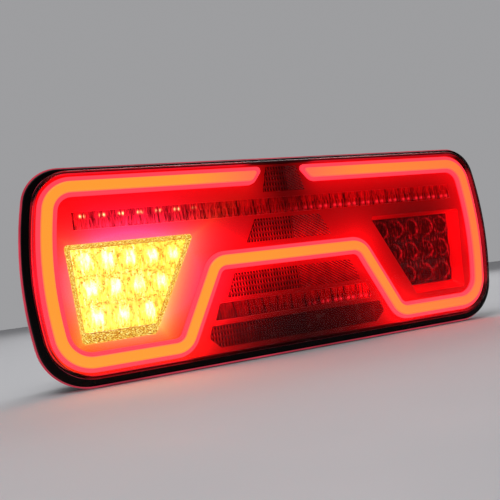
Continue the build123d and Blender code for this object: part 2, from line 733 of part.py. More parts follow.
# ---------------------------------------------------------------- studs, washers and nuts
with BuildPart() as mounting_studs:
    for radius, start, length in (
        (STUD_HEAD_RADIUS, -2 * STUD_STEP, STUD_STEP),
        (STUD_NECK_RADIUS, -STUD_STEP, STUD_STEP),
        (STUD_RADIUS, 0.0, SHANK_LENGTH),
        (THREAD_RADIUS, SHANK_LENGTH, STUD_LENGTH - SHANK_LENGTH),
    ):
        with BuildSketch(level(-start)):
            with Locations(*stud_places):
                Circle(radius)
        extrude(amount=-length)
    chamfer(mounting_studs.edges().group_by(Axis.Y)[-1], 0.9)
finish(mounting_studs, "mounting_studs")

for (x, z), name in zip(stud_places, ("left", "right")):
    with BuildPart() as washer:
        with BuildSketch(level(-WASHER_REST)):
            with Locations((x, z)):
                Circle(WASHER_RADIUS)
                Circle(WASHER_BORE, mode=Mode.SUBTRACT)
        extrude(amount=-WASHER_THICK)
        chamfer(washer.edges().group_by(Axis.Y)[-1].sort_by(SortBy.LENGTH)[-1], 0.4)
    finish(washer, f"washer_{name}")
    nut_back = -WASHER_REST - WASHER_THICK
    with BuildPart() as nut:
        with BuildSketch(level(nut_back)):
            with Locations((x, z)):
                Circle(NUT_FLATS / 2 + 0.75)
        extrude(amount=-NUT_HEIGHT)
        chamfer(nut.edges(), 0.55)
        with BuildSketch(level(nut_back)):
            with Locations((x, z)):
                RegularPolygon(radius=NUT_FLATS / 2, side_count=6, major_radius=False)
        extrude(amount=-NUT_HEIGHT, mode=Mode.INTERSECT)
        with BuildSketch(level(nut_back)):
            with Locations((x, z)):
                Circle(NUT_BORE)
        extrude(amount=-NUT_HEIGHT, mode=Mode.SUBTRACT)
    finish(nut, f"nut_{name}")
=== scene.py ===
"""The looks of a trailer's LED combination rear lamp, built round its CAD frame as a Blender add-on."""

import math

import bpy
from bpy.props import FloatProperty, FloatVectorProperty, IntProperty, PointerProperty
from mathutils import Matrix, Vector


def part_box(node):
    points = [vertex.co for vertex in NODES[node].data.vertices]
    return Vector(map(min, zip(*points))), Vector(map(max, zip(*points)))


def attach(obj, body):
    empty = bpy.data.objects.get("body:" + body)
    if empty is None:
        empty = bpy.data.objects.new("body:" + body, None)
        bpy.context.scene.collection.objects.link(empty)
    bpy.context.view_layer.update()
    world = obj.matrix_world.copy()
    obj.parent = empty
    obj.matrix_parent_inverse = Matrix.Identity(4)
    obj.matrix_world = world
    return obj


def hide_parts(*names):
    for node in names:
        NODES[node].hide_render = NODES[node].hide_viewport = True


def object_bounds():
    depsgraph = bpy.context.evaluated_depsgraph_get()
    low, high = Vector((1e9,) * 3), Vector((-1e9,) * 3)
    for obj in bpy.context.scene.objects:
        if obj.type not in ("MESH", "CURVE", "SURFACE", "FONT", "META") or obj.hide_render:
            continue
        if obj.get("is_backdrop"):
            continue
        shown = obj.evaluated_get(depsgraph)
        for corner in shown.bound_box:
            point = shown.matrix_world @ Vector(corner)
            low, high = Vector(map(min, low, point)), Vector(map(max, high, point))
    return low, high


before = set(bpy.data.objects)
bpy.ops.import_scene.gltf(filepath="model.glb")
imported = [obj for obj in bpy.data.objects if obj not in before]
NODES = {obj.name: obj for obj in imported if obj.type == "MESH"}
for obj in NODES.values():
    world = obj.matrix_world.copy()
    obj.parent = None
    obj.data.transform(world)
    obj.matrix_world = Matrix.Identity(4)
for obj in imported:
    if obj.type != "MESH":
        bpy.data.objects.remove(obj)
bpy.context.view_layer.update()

bl_info = {
    "name": "Trailer rear lamp",
    "version": (1, 0, 0),
    "blender": (4, 5, 0),
    "location": "3D View > Sidebar > Rear lamp",
    "description": "Finishes a lit LED combination rear lamp round its CAD frame",
    "category": "Object",
}

MM = 0.001
FAR = 1000.0  # mm, farther than anything on the lamp

# The light guide's route on one half of the lamp, in mm across from the middle and up.
GUIDE_ROUTE = (
    ((33.0, 61.0), (165.0, 61.0)),
    ((178.5, 46.0), (183.0, 0.0)),
    ((183.0, 0.0), (179.0, -38.0)),
    ((160.0, -58.0), (97.0, -58.0)),
    ((90.0, -51.0), (66.5, -5.0)),
    ((58.0, 0.0), (0.0, 0.0)),
)
# the guide's light on the surfaces round it is painted, and fades over this reach
PAINTED_GLOW_REACH = 15.5  # how far the guide's light carries, in mm, before it has faded to a third

# The four corners of a cup window, in mm: distance across from the middle, and height.
WINDOW = ((165.0, 19.5), (79.6, 19.5), (111.3, -39.0), (161.0, -39.0))
CUP_ROWS = ((5, 10.0), (4, -9.5), (3, -29.0))  # cups in each row, and the row's height in mm
ROW_HEIGHT = 19.5

# The oval of painted light round the indicator's window, standing in for the light it spills, in mm.
PAINTED_SPILL_MIDDLE = (-125.0, -5.0)
PAINTED_SPILL_RADIUS = 32.0
PAINTED_SPILL_STRETCH = 1.5

PRISM_SPLIT = 3.0  # mm right of the middle, where the coarse reflex prisms end


# ------------------------------------------------------------------ small tools
def linear(hex_text):
    """An sRGB hex colour as the linear red, green and blue that Blender works in."""
    channels = [int(hex_text[i:i + 2], 16) / 255 for i in (1, 3, 5)]
    return [c / 12.92 if c <= 0.04045 else ((c + 0.055) / 1.055) ** 2.4 for c in channels]


def rgba(colour):
    """A colour, given as hex text or as linear channels, with full alpha."""
    channels = linear(colour) if isinstance(colour, str) else colour[:3]
    return (*channels, 1.0)


def sides_of(corners):
    """The sides of a convex outline, each as one of its ends and its outward normal."""
    centre = sum((Vector(c) for c in corners), Vector((0, 0))) / len(corners)
    sides = []
    for i, corner in enumerate(corners):
        start = Vector(corner)
        run = Vector(corners[(i + 1) % len(corners)]) - start
        normal = Vector((run.y, -run.x)).normalized()
        if (centre - start) @ normal > 0:
            normal = -normal
        sides.append((start, normal))
    return sides


def add_node(tree, kind, inputs=None, **settings):
    """Adds a node with its settings. An input that is a socket is linked, and any other is set."""
    node = tree.nodes.new(kind)
    for name, value in settings.items():
        setattr(node, name, value)
    for name, value in (inputs or {}).items():
        if isinstance(value, bpy.types.NodeSocket):
            tree.links.new(value, node.inputs[name])
        else:
            node.inputs[name].default_value = value
    return node


def calc(tree, operation, first, second=0.0, clamp=False):
    """One arithmetic step on a number or two."""
    return add_node(
        tree, "ShaderNodeMath", {0: first, 1: second}, operation=operation, use_clamp=clamp
    ).outputs[0]


def times(tree, total, *others):
    """The product of some numbers."""
    for other in others:
        total = calc(tree, "MULTIPLY", total, other)
    return total


def plus(tree, first, second):
    """The sum of two numbers."""
    return calc(tree, "ADD", first, second)


def minus(tree, first, second):
    """The difference of two numbers."""
    return calc(tree, "SUBTRACT", first, second)


def squares(tree, first, second):
    """The sum of the squares of two numbers."""
    return plus(tree, times(tree, first, first), times(tree, second, second))


def fading(tree, distance, reach):
    """One at no distance, falling to about a third at this reach."""
    return calc(tree, "EXPONENT", calc(tree, "DIVIDE", distance, -reach))


def bell(tree, value, centre, width):
    """A smooth bump round a value."""
    away = calc(tree, "DIVIDE", minus(tree, value, centre), width)
    return calc(tree, "EXPONENT", times(tree, away, away, -1.0))


def ramp_between(tree, value, start, end, low=0.0, high=1.0):
    """A number that goes from low to high while the value goes from start to end."""
    return add_node(
        tree, "ShaderNodeMapRange",
        {"Value": value, "From Min": start, "From Max": end, "To Min": low, "To Max": high},
    ).outputs["Result"]


def on_vectors(tree, operation, first, second):
    """One step on two vectors or colours, of the kinds that give a vector."""
    node = add_node(tree, "ShaderNodeVectorMath", {0: first, 1: second}, operation=operation)
    return node.outputs["Vector"]


def measure(tree, operation, first, second):
    """One step on two vectors that gives a number."""
    node = add_node(tree, "ShaderNodeVectorMath", {0: first, 1: second}, operation=operation)
    return node.outputs["Value"]


def scaled(tree, vector, factor):
    """A vector or a colour times a number."""
    node = add_node(tree, "ShaderNodeVectorMath", {0: vector, "Scale": factor}, operation="SCALE")
    return node.outputs["Vector"]


def blend(tree, factor, first, second):
    """A mix of two colours."""
    node = add_node(tree, "ShaderNodeMix", data_type="RGBA")
    for name, value in (("Factor", factor), ("A", first), ("B", second)):
        socket = next(s for s in node.inputs if s.name == name and s.enabled)
        if isinstance(value, bpy.types.NodeSocket):
            tree.links.new(value, socket)
        else:
            socket.default_value = value if name == "Factor" else rgba(value)
    return next(s for s in node.outputs if s.enabled)


def add_ramp(tree, factor, stops):
    """A colour ramp through (place, colour) stops."""
    node = add_node(tree, "ShaderNodeValToRGB", {"Fac": factor})
    ramp = node.color_ramp
    while len(ramp.elements) < len(stops):
        ramp.elements.new(0.5)
    for element, (place, colour) in zip(ramp.elements, stops):
        element.position = place
        element.color = rgba(colour)
    return node.outputs["Color"]


def place_of(tree):
    """The point's place in the lamp's own frame, in millimetres."""
    return scaled(tree, add_node(tree, "ShaderNodeTexCoord").outputs["Object"], 1 / MM)


def normal_of(tree, kind="Normal"):
    """The way the surface faces."""
    return add_node(tree, "ShaderNodeNewGeometry").outputs[kind]


def split(tree, vector):
    """The X, Y and Z of a vector."""
    return add_node(tree, "ShaderNodeSeparateXYZ", {0: vector}).outputs


def noise_at(tree, millimetres, detail=2.0, stretch=None):
    """Noise with features of this size, squeezed along the axes where stretch is given."""
    point = place_of(tree)
    if stretch:
        point = on_vectors(tree, "MULTIPLY", point, stretch)
    return add_node(
        tree, "ShaderNodeTexNoise", {"Vector": point, "Scale": 1 / millimetres, "Detail": detail}
    ).outputs["Fac"]


def new_material(name, base, roughness, metallic=0.0, specular=0.5, alpha=1.0):
    """A Principled material with its constants set on the shader itself."""
    material = bpy.data.materials.new(name)
    material.use_nodes = True
    tree = material.node_tree
    shader = tree.nodes["Principled BSDF"]
    shader.inputs["Base Color"].default_value = rgba(base)
    shader.inputs["Roughness"].default_value = roughness
    shader.inputs["Metallic"].default_value = metallic
    shader.inputs["IOR"].default_value = 1.5
    shader.inputs["Specular IOR Level"].default_value = specular
    shader.inputs["Alpha"].default_value = alpha
    return material, tree, shader


def grain(tree, shader, millimetres, depth, detail=3.0):
    """Fine moulded grain of this size and depth, as bump."""
    noise = noise_at(tree, millimetres, detail)
    bump = add_node(
        tree, "ShaderNodeBump", {"Height": noise, "Strength": 0.5, "Distance": depth * MM}
    )
    tree.links.new(bump.outputs["Normal"], shader.inputs["Normal"])
    return noise


def vary(tree, shader, millimetres, low, high):
    """Lets the roughness wander between two values over patches of this size."""
    spread = ramp_between(tree, noise_at(tree, millimetres), 0.3, 0.7, low, high)
    tree.links.new(spread, shader.inputs["Roughness"])


def shine(tree, shader, light, strength=1.0):
    """Lets the surface give out this light."""
    tree.links.new(light, shader.inputs["Emission Color"])
    shader.inputs["Emission Strength"].default_value = strength


def glow_only(material):
    """Its painted light is seen but isn't aimed at other surfaces, which keeps the picture clean."""
    material.cycles.emission_sampling = "NONE"
    return material


def shared(tree, build):
    """The outputs of a node group that materials share. Its function builds it on first use."""
    group = bpy.data.node_groups.get(build.__name__)
    if group is None:
        group = bpy.data.node_groups.new(build.__name__, "ShaderNodeTree")
        numbers = build(group)
        for output in numbers:
            group.interface.new_socket(output, in_out="OUTPUT", socket_type="NodeSocketFloat")
        add_node(group, "NodeGroupOutput", numbers)
    return add_node(tree, "ShaderNodeGroup", node_tree=group).outputs


def painted_glow_field(tree):
    """How strongly the guide's painted light falls on a place, and the place's distance in mm from the
    guide, from the oval of painted spill light and from the nearest window."""
    x, _, z = split(tree, place_of(tree))
    across = calc(tree, "ABSOLUTE", x)
    point = add_node(tree, "ShaderNodeCombineXYZ", {"X": across, "Z": z}).outputs[0]
    total, nearest = 0.0, FAR
    for start, end in GUIDE_ROUTE:
        a = Vector((start[0], 0, start[1]))
        run = Vector((end[0], 0, end[1])) - a
        offset = on_vectors(tree, "SUBTRACT", point, a)
        along = measure(tree, "DOT_PRODUCT", offset, run / run.length_squared)
        foot = scaled(tree, run, calc(tree, "ADD", along, 0.0, clamp=True))
        gap = measure(tree, "DISTANCE", offset, foot)
        total = plus(tree, total, fading(tree, gap, PAINTED_GLOW_REACH))
        nearest = calc(tree, "MINIMUM", nearest, gap)
    side = calc(tree, "DIVIDE", minus(tree, x, PAINTED_SPILL_MIDDLE[0]), PAINTED_SPILL_STRETCH)
    rise = minus(tree, z, PAINTED_SPILL_MIDDLE[1])
    spill = minus(tree, calc(tree, "SQRT", squares(tree, side, rise)), PAINTED_SPILL_RADIUS)
    # distance to a window: the largest of its four signed side distances
    window = -FAR
    for corner, outward in sides_of(WINDOW):
        place = plus(tree, times(tree, across, outward.x), times(tree, z, outward.y))
        window = calc(tree, "MAXIMUM", window, minus(tree, place, outward @ corner))
    return {
        "Guide": total,
        "Gap": nearest,
        "Spill": calc(tree, "MAXIMUM", spill, 0.0),
        "Window": calc(tree, "MAXIMUM", window, 0.0),
    }


def cup_places(tree):
    """How far a place is from its reflector cup's centre, across, up and straight, in mm."""
    x, _, z = split(tree, place_of(tree))
    across = calc(tree, "ABSOLUTE", x)
    (outer_top, top), (inner_top, _), (inner_foot, foot), (outer_foot, _) = WINDOW
    sideways, upwards = 0.0, 0.0
    for count, height in CUP_ROWS:
        drop = (top - height) / (top - foot)
        inner = inner_top + drop * (inner_foot - inner_top)
        outer = outer_top + drop * (outer_foot - outer_top)
        pitch = (outer - inner) / count
        rise = minus(tree, z, height)
        in_row = calc(tree, "LESS_THAN", calc(tree, "ABSOLUTE", rise), ROW_HEIGHT / 2)
        step = calc(tree, "FRACT", calc(tree, "DIVIDE", minus(tree, across, inner), pitch))
        local = times(tree, minus(tree, step, 0.5), pitch, in_row)
        sideways = plus(tree, sideways, local)
        upwards = plus(tree, upwards, times(tree, rise, in_row))
    distance = calc(tree, "SQRT", squares(tree, sideways, upwards))
    return {"Distance": distance, "Across": sideways, "Up": upwards}


def painted_lamp_light(tree, strength=1.0, pattern=None):
    """Painted light on an inner surface, standing in for what it throws back from the guide and the
    indicator.
    """
    field = shared(tree, painted_glow_field)
    x, _, z = split(tree, place_of(tree))
    left = ramp_between(tree, x, 5.0, -5.0)
    # painted light: the guide's is dimmer round its gap at the top and down its right end
    gap = times(tree, bell(tree, x, 8.0, 20.0), ramp_between(tree, z, 32.0, 46.0, 0.0, 0.5))
    right_end = ramp_between(tree, x, 100.0, 170.0, 1.0, 0.75)
    dimmed = times(tree, minus(tree, 1.0, gap), right_end)
    guide_glow_painted = times(tree, field["Guide"], 1.15 * strength, dimmed)
    total = scaled(tree, (1.0, 0.001, 0.003), guide_glow_painted)
    # the painted light round the window is amber low down and pink above
    amber = ramp_between(tree, z, 28.0, -40.0, 0.1, 0.62)
    slanted = times(tree, ramp_between(tree, x, -125.0, -100.0), ramp_between(tree, z, 24.0, 8.0))
    pink = minus(tree, 1.0, times(tree, slanted, 0.62))
    pink = times(tree, pink, ramp_between(tree, x, -165.0, -150.0, 0.5, 1.0))
    for source, reach, share, colour in (
        ("Spill", 12.5, 1.0, (3.2, 0.0, 0.0)),
        ("Spill", 7.5, pink, (0.0, 0.04, 0.26)),
        ("Window", 7.0, amber, (0.0, 1.0, 0.06)),
    ):
        fade = times(tree, fading(tree, field[source], reach), left, strength, share)
        total = on_vectors(tree, "ADD", total, scaled(tree, colour, fade))
    return total if pattern is None else scaled(tree, total, pattern)


# ------------------------------------------------------------------ settings
class RearLampSizes(bpy.types.PropertyGroup):
    """Sizes of the lamp's fine detail."""

    flute_pitch: FloatProperty(
        name="Flute pitch", description="Width of one upright flute of the inner lenses",
        default=4.0 * MM, min=1 * MM, unit="LENGTH", subtype="DISTANCE",
    )
    strip_flutes: IntProperty(
        name="Flutes in a strip cell", description="Upright flutes on one cell of a strip",
        default=5, min=1,
    )
    coarse_prism: FloatProperty(
        name="Coarse prism", description="Pitch of the coarse reflex prisms",
        default=2.4 * MM, min=1 * MM, unit="LENGTH", subtype="DISTANCE",
    )
    fine_prism: FloatProperty(
        name="Fine prism", description="Pitch of the fine reflex prisms",
        default=1.9 * MM, min=0.5 * MM, unit="LENGTH", subtype="DISTANCE",
    )
    thread_pitch: FloatProperty(
        name="Thread pitch", description="Pitch of the studs' threads",
        default=1.25 * MM, min=0.5 * MM, unit="LENGTH", subtype="DISTANCE",
    )
    camera_lens: FloatProperty(
        name="Camera lens", description="Focal length in mm", default=51.05, min=10
    )


class RearLampColours(bpy.types.PropertyGroup):
    """Colours of the lamp and its light."""

    bezel: FloatVectorProperty(
        name="Bezel", description="Red of the inner bezel", subtype="COLOR",
        default=linear("#3A0508"),
    )
    housing: FloatVectorProperty(
        name="Housing", description="Black of the rear housing", subtype="COLOR",
        default=linear("#1B1B1C"),
    )
    reflex: FloatVectorProperty(
        name="Reflex red", description="Red of the reflex plates", subtype="COLOR",
        default=linear("#2C0407"),
    )
    guide_light: FloatVectorProperty(
        name="Guide light", description="Hot orange of the light guide's core", subtype="COLOR",
        default=linear("#FF9528"),
    )
    diffuser_light: FloatVectorProperty(
        name="Diffuser light", description="Pink red beside the light guide's core", subtype="COLOR",
        default=linear("#FE4455"),
    )
    indicator_light: FloatVectorProperty(
        name="Indicator light", description="Yellow of the lit indicator", subtype="COLOR",
        default=linear("#FFF06A"),
    )
    floor: FloatVectorProperty(
        name="Floor", description="Pale studio floor", subtype="COLOR", default=linear("#D9D9DC")
    )


# ------------------------------------------------------------------ materials
def acrylic_outer_lens():
    """Cast-clear acrylic, polished: it mirrors only at a slant. Its wall and flange carry painted red
    light that stands in for edge lighting, and its rim a painted highlight.
    """
    material, tree, shader = new_material(
        "clear acrylic, polished, with painted edge light", (1, 1, 1), 0.03, metallic=1.0, specular=0.2
    )
    x, y, z = split(tree, place_of(tree))
    normal = normal_of(tree)
    from_axis = add_node(tree, "ShaderNodeCombineXYZ", {"X": x, "Z": z}).outputs[0]
    outwards = measure(tree, "DOT_PRODUCT", normal, from_axis)
    # the flange's front and its edge get painted light; its back, against the seal, doesn't
    flange_front, flange_back = -58.3, -55.7
    flange = times(
        tree, ramp_between(tree, y, flange_front, flange_front + 0.3),
        calc(tree, "LESS_THAN", y, flange_back),
    )
    rim = times(tree, flange, calc(tree, "GREATER_THAN", outwards, -5.0))
    facing = calc(tree, "ABSOLUTE", split(tree, normal)[1])
    wall = ramp_between(tree, facing, 0.85, 0.15)
    # Schlick's curve, the same from both sides of the plate, so that it stays clear at a slant
    slant = add_node(tree, "ShaderNodeLayerWeight", {"Blend": 0.5}).outputs["Facing"]
    flat = ramp_between(tree, facing, 0.85, 0.97)
    least_mirror = 0.004
    glance = times(tree, calc(tree, "POWER", slant, 5.0), flat)
    mirror = calc(tree, "ADD", glance, least_mirror, clamp=True)
    alpha = calc(tree, "MAXIMUM", calc(tree, "MAXIMUM", mirror, times(tree, wall, 0.85)), rim)
    # painted red light on the wall near the guide, weaker to the right, and a painted pink highlight
    # round the flange's rim
    guide_glow_painted = ramp_between(tree, shared(tree, painted_glow_field)["Gap"], 7.5, 12.0, 1.0, 0.0)
    strength = times(tree, guide_glow_painted, ramp_between(tree, x, -80.0, 120.0, 1.0, 0.45))
    red = scaled(tree, (1.05, 0.012, 0.03), strength)
    painted_rim_line = scaled(tree, linear("#EE4860"), noise_at(tree, 40.0))
    painted_glow = scaled(tree, blend(tree, rim, red, painted_rim_line), calc(tree, "MAXIMUM", wall, rim))
    mirrored = calc(tree, "DIVIDE", mirror, alpha, clamp=True)
    for socket, value in (
        ("Base Color", blend(tree, mirrored, "#120103", (1, 1, 1))),
        ("Metallic", mirrored),
        ("Roughness", ramp_between(tree, wall, 0.0, 1.0, 0.03, 0.3)),
        ("Alpha", alpha),
    ):
        tree.links.new(value, shader.inputs[socket])
    shine(tree, shader, painted_glow)
    return glow_only(material)


def piano_black():
    """Gloss black ABS: deep black, with broad smears of slightly duller gloss."""
    material, tree, shader = new_material("gloss black ABS, moulded", "#0A0607", 0.3, specular=0.12)
    vary(tree, shader, 25.0, 0.24, 0.36)
    return material


def satin_red_bezel(colours):
    """Red ABS with a fine spark-eroded grain, with painted light from the guide beside it."""
    material, tree, shader = new_material(
        "satin red ABS, moulded", colours.bezel, 0.42, specular=0.12
    )
    grainy = grain(tree, shader, 0.7, 0.03)
    x, y, _ = split(tree, place_of(tree))
    wall = ramp_between(tree, y, -60.9, -60.2)
    light = painted_lamp_light(tree, 1.0, ramp_between(tree, grainy, 0.3, 0.7, 0.88, 1.12))
    # painted amber light on the walls of the indicator's recess, which face the lit window
    near = ramp_between(tree, shared(tree, painted_glow_field)["Window"], 12.0, 7.0)
    amber = times(tree, wall, near, calc(tree, "LESS_THAN", x, 0.0))
    painted_amber_wall = add_ramp(tree, noise_at(tree, 1.2), (
        (0.36, "#A85A18"), (0.46, "#DE982A"), (0.56, "#F2CC48"), (0.66, "#FFF8A0"),
    ))
    # the painted light is stronger on the walls
    light = scaled(tree, light, plus(tree, times(tree, wall, 0.7), 1.0))
    shine(tree, shader, blend(tree, amber, light, painted_amber_wall))
    return glow_only(material)


def lit_guide(colours):
    """Frosted acrylic bar at full brightness: orange along its crown, redder at edges and ends."""
    material, tree, shader = new_material("frosted acrylic, lit", "#FF6A3A", 0.35)
    x, y, z = split(tree, place_of(tree))
    right = ramp_between(tree, x, -60.0, 190.0)
    crown = ramp_between(tree, y, -63.2, -64.9)
    past_ends = ramp_between(tree, calc(tree, "ABSOLUTE", x), 20.0, 75.0)
    top = calc(tree, "GREATER_THAN", z, 50.0)
    core = blend(tree, right, colours.guide_light, "#FF7036")
    core = blend(tree, times(tree, minus(tree, 1.0, past_ends), top), core, "#FF604A")
    hot = blend(tree, crown, colours.diffuser_light, core)
    shine(tree, shader, on_vectors(tree, "ADD", hot, (1.4, 0.0, 0.0)))
    return material


def lit_diffuser(colours):
    """Translucent red polycarbonate beside the bar: pink where it meets it, red at its edge."""
    material, tree, shader = new_material("translucent red polycarbonate, lit", "#C01020", 0.3)
    crown = ramp_between(tree, split(tree, place_of(tree))[1], -60.6, -62.9)
    colour = add_ramp(
        tree, crown, ((0.0, "#FF1830"), (0.55, "#FF3A50"), (1.0, colours.diffuser_light))
    )
    shine(tree, shader, on_vectors(tree, "ADD", colour, (0.4, 0.0, 0.0)))
    return material


def reflex_red(colours):
    """Red acrylic prisms, each facet given painted light from the guide by the way it faces."""
    material, tree, shader = new_material(
        "red acrylic prism plate, moulded", colours.reflex, 0.2, specular=0.08
    )
    vary(tree, shader, 8.0, 0.15, 0.3)
    normal = normal_of(tree, "True Normal")
    x, _, z = split(tree, place_of(tree))
    # painted light: the coarse prisms light up sideways, as upright streaks, and the fine ones up along
    # a slant
    coarse, fine = (
        ramp_between(tree, measure(tree, "DOT_PRODUCT", normal, way), -0.25, 0.45, 0.03, 1.9)
        for way in ((1.0, 0.0, 0.12), (0.53, 0.0, 0.85))
    )
    on_right = ramp_between(tree, x, PRISM_SPLIT - 0.1, PRISM_SPLIT + 0.1)
    pattern = add_node(
        tree, "ShaderNodeMix", {"Factor": on_right, "A": coarse, "B": fine}
    ).outputs[0]
    # painted light changes over patches of prisms, and painted shade dims the lowest plate
    patches = ramp_between(tree, noise_at(tree, 6.0, 2.0, (1.0, 1.0, 0.5)), 0.35, 0.65, 0.75, 1.2)
    painted_shade_low = ramp_between(tree, z, -40.0, -44.0, 1.0, 0.5)
    share = times(tree, ramp_between(tree, on_right, 0.0, 1.0, 0.95, 1.4), painted_shade_low)
    pattern = times(tree, pattern, times(tree, patches, share))
    shine(tree, shader, painted_lamp_light(tree, 0.8, pattern))
    return glow_only(material)


def strip_optic_clear(name, half, cells, middle, left_gain, right_gain):
    """Clear polycarbonate flutes over reflectors, under painted red light. Each cell has two painted
    streaks of light.

    Painted glints stand near each cell's top edge at the left end, where the indicator is, and near its
    foot on the right.
    """
    material, tree, shader = new_material(name, "#300408", 0.15, specular=0.08, alpha=0.85)
    vary(tree, shader, 6.0, 0.1, 0.22)
    x, _, z = split(tree, place_of(tree))
    cell = calc(tree, "FRACT", calc(tree, "DIVIDE", plus(tree, x, half), 2 * half / cells))
    up = minus(tree, z, middle)
    streaks = plus(tree, bell(tree, cell, 0.3, 0.09), bell(tree, cell, 0.68, 0.09))
    seams = plus(tree, bell(tree, cell, 0.0, 0.05), bell(tree, cell, 1.0, 0.05))
    facing = measure(tree, "DOT_PRODUCT", normal_of(tree), (0.9, 0.0, 0.35))
    rough = ramp_between(tree, noise_at(tree, 1.0, 2.0, (1.0, 1.0, 0.14)), 0.42, 0.58)
    pattern = 0.3
    for part, share in ((facing, 0.4), (rough, 0.6), (streaks, 0.25), (seams, -0.3)):
        pattern = plus(tree, times(tree, part, share), pattern)
    # painted light, brighter towards one end by the two gains
    pattern = times(tree, pattern, ramp_between(tree, x, -60.0, 60.0, left_gain, right_gain))
    light = painted_lamp_light(tree, 0.85, calc(tree, "MAXIMUM", pattern, 0.08))
    painted_dashes = plus(tree, bell(tree, cell, 0.4, 0.055), bell(tree, cell, 0.6, 0.055))
    left_end = ramp_between(tree, x, -72.0, -90.0)
    glints_at_top = times(tree, bell(tree, up, 2.9, 0.9), painted_dashes, left_end, rough)
    right_half = ramp_between(tree, x, 0.0, 40.0)
    glints_at_foot = times(tree, bell(tree, up, -3.6, 1.1), plus(tree, streaks, 0.1), right_half)
    painted_glints = on_vectors(
        tree, "ADD", scaled(tree, (2.6, 1.6, 0.6), glints_at_top),
        scaled(tree, (0.75, 0.012, 0.025), glints_at_foot),
    )
    shine(tree, shader, on_vectors(tree, "ADD", light, painted_glints))
    return glow_only(material)


def indicator_optic(colours):
    """Clear fluted polycarbonate flooded with amber, nearly white over each diode."""
    material, tree, shader = new_material("fluted polycarbonate, lit amber", "#FFD060", 0.15)
    cups = shared(tree, cup_places)
    # the light leaves each cup a little to its left, as two upright blooms
    lengthways = calc(tree, "DIVIDE", minus(tree, cups["Up"], 0.5), 6.0)
    core = 0.0
    for middle in (-3.2, 0.8):
        sideways = calc(tree, "DIVIDE", minus(tree, cups["Across"], middle), 2.1)
        off_centre = times(tree, squares(tree, sideways, lengthways), -1.0)
        core = plus(tree, core, calc(tree, "EXPONENT", off_centre))
    ring = bell(tree, cups["Distance"], 7.4, 0.9)
    seam = ramp_between(tree, calc(tree, "ABSOLUTE", cups["Up"]), 7.5, 9.6)
    streak = minus(tree, noise_at(tree, 1.8, 3.0, (1.0, 1.0, 0.3)), 0.5)
    speck = ramp_between(tree, noise_at(tree, 1.0), 0.5, 0.6)
    level = ramp_between(tree, split(tree, place_of(tree))[0], -150.0, -95.0, 0.52, 0.36)
    for part, share in (
        (core, 0.5), (streak, 1.3), (times(tree, seam, speck), -0.75),
        (times(tree, ring, speck), -0.7), (speck, -0.12),
    ):
        level = plus(tree, times(tree, part, share), level)
    colour = add_ramp(tree, level, (
        (0.0, "#A0621E"), (0.14, "#D9A032"), (0.32, "#F7DC4A"),
        (0.55, colours.indicator_light), (0.78, "#FFFBB8"), (0.97, "#FFFFF4"),
    ))
    shine(tree, shader, colour, 1.08)
    return material


def reversing_optic():
    """Clear fluted polycarbonate over dark cups. Unlit, it carries painted red reflections of the
    guide, at the cups' rims and in upright streaks.
    """
    material, tree, shader = new_material(
        "fluted polycarbonate, unlit", "#1C0103", 0.06, specular=0.1, alpha=0.8
    )
    vary(tree, shader, 6.0, 0.08, 0.18)
    cups = shared(tree, cup_places)
    # painted red reflections: arcs on one side of each cup's rim, and upright streaks, rippled
    one_side = ramp_between(tree, cups["Across"], -3.0, 6.0, 0.1, 1.0)
    rim = times(tree, bell(tree, cups["Distance"], 7.0, 0.8), one_side, 0.6)
    streak = ramp_between(tree, noise_at(tree, 1.5, 3.0, (1.0, 1.0, 0.22)), 0.5, 0.68)
    ripple = ramp_between(tree, noise_at(tree, 3.0), 0.4, 0.65, 0.25, 1.0)
    painted_catch = plus(tree, rim, times(tree, streak, 0.5))
    painted_catch = plus(tree, times(tree, painted_catch, ripple), 0.05)
    outer = ramp_between(tree, split(tree, place_of(tree))[0], 90.0, 160.0, 0.55, 1.25)
    shine(tree, shader, scaled(tree, (1.0, 0.006, 0.012), times(tree, painted_catch, outer)))
    return glow_only(material)


def vacuum_metal():
    """Vacuum-metallised reflector: a soft mirror, with faint painted red light standing in for the red
    round it.
    """
    material, tree, shader = new_material("vacuum-metallised ABS", "#C8B8BA", 0.16, metallic=1.0)
    vary(tree, shader, 3.0, 0.1, 0.24)
    grain(tree, shader, 2.0, 0.02)
    # painted red light from the guide and indicator, standing in for what the mirror picks up
    shine(tree, shader, painted_lamp_light(tree, 0.16))
    return glow_only(material)


def eroded_black_plastic(colours):
    """Black ASA with a spark-eroded texture: matt, with a faint sparkle of grain."""
    material, tree, shader = new_material("black ASA, spark-eroded", colours.housing, 0.55)
    grainy = grain(tree, shader, 0.8, 0.12, 4.0)
    shade = add_ramp(tree, grainy, ((0.3, "#141415"), (0.7, "#242426")))
    tree.links.new(shade, shader.inputs["Base Color"])
    vary(tree, shader, 18.0, 0.48, 0.64)
    return material


def sealing_rubber():
    """EPDM rubber: dull, slightly bloomed."""
    material, tree, shader = new_material("EPDM rubber, moulded", "#161616", 0.85)
    bloom = grain(tree, shader, 1.5, 0.05)
    shade = add_ramp(tree, bloom, ((0.3, "#101010"), (0.75, "#242322")))
    tree.links.new(shade, shader.inputs["Base Color"])
    return material


def zinc_plate():
    """Bright zinc-plated steel: bluish silver with cloudy passivation."""
    material, tree, shader = new_material(
        "zinc-plated steel, passivated", "#B9BDC4", 0.3, metallic=1.0
    )
    cloud = grain(tree, shader, 3.0, 0.01)
    shade = add_ramp(tree, cloud, ((0.3, "#A9AEB8"), (0.55, "#C6CACF"), (0.75, "#C9C3AE")))
    tree.links.new(shade, shader.inputs["Base Color"])
    vary(tree, shader, 2.5, 0.22, 0.4)
    return material


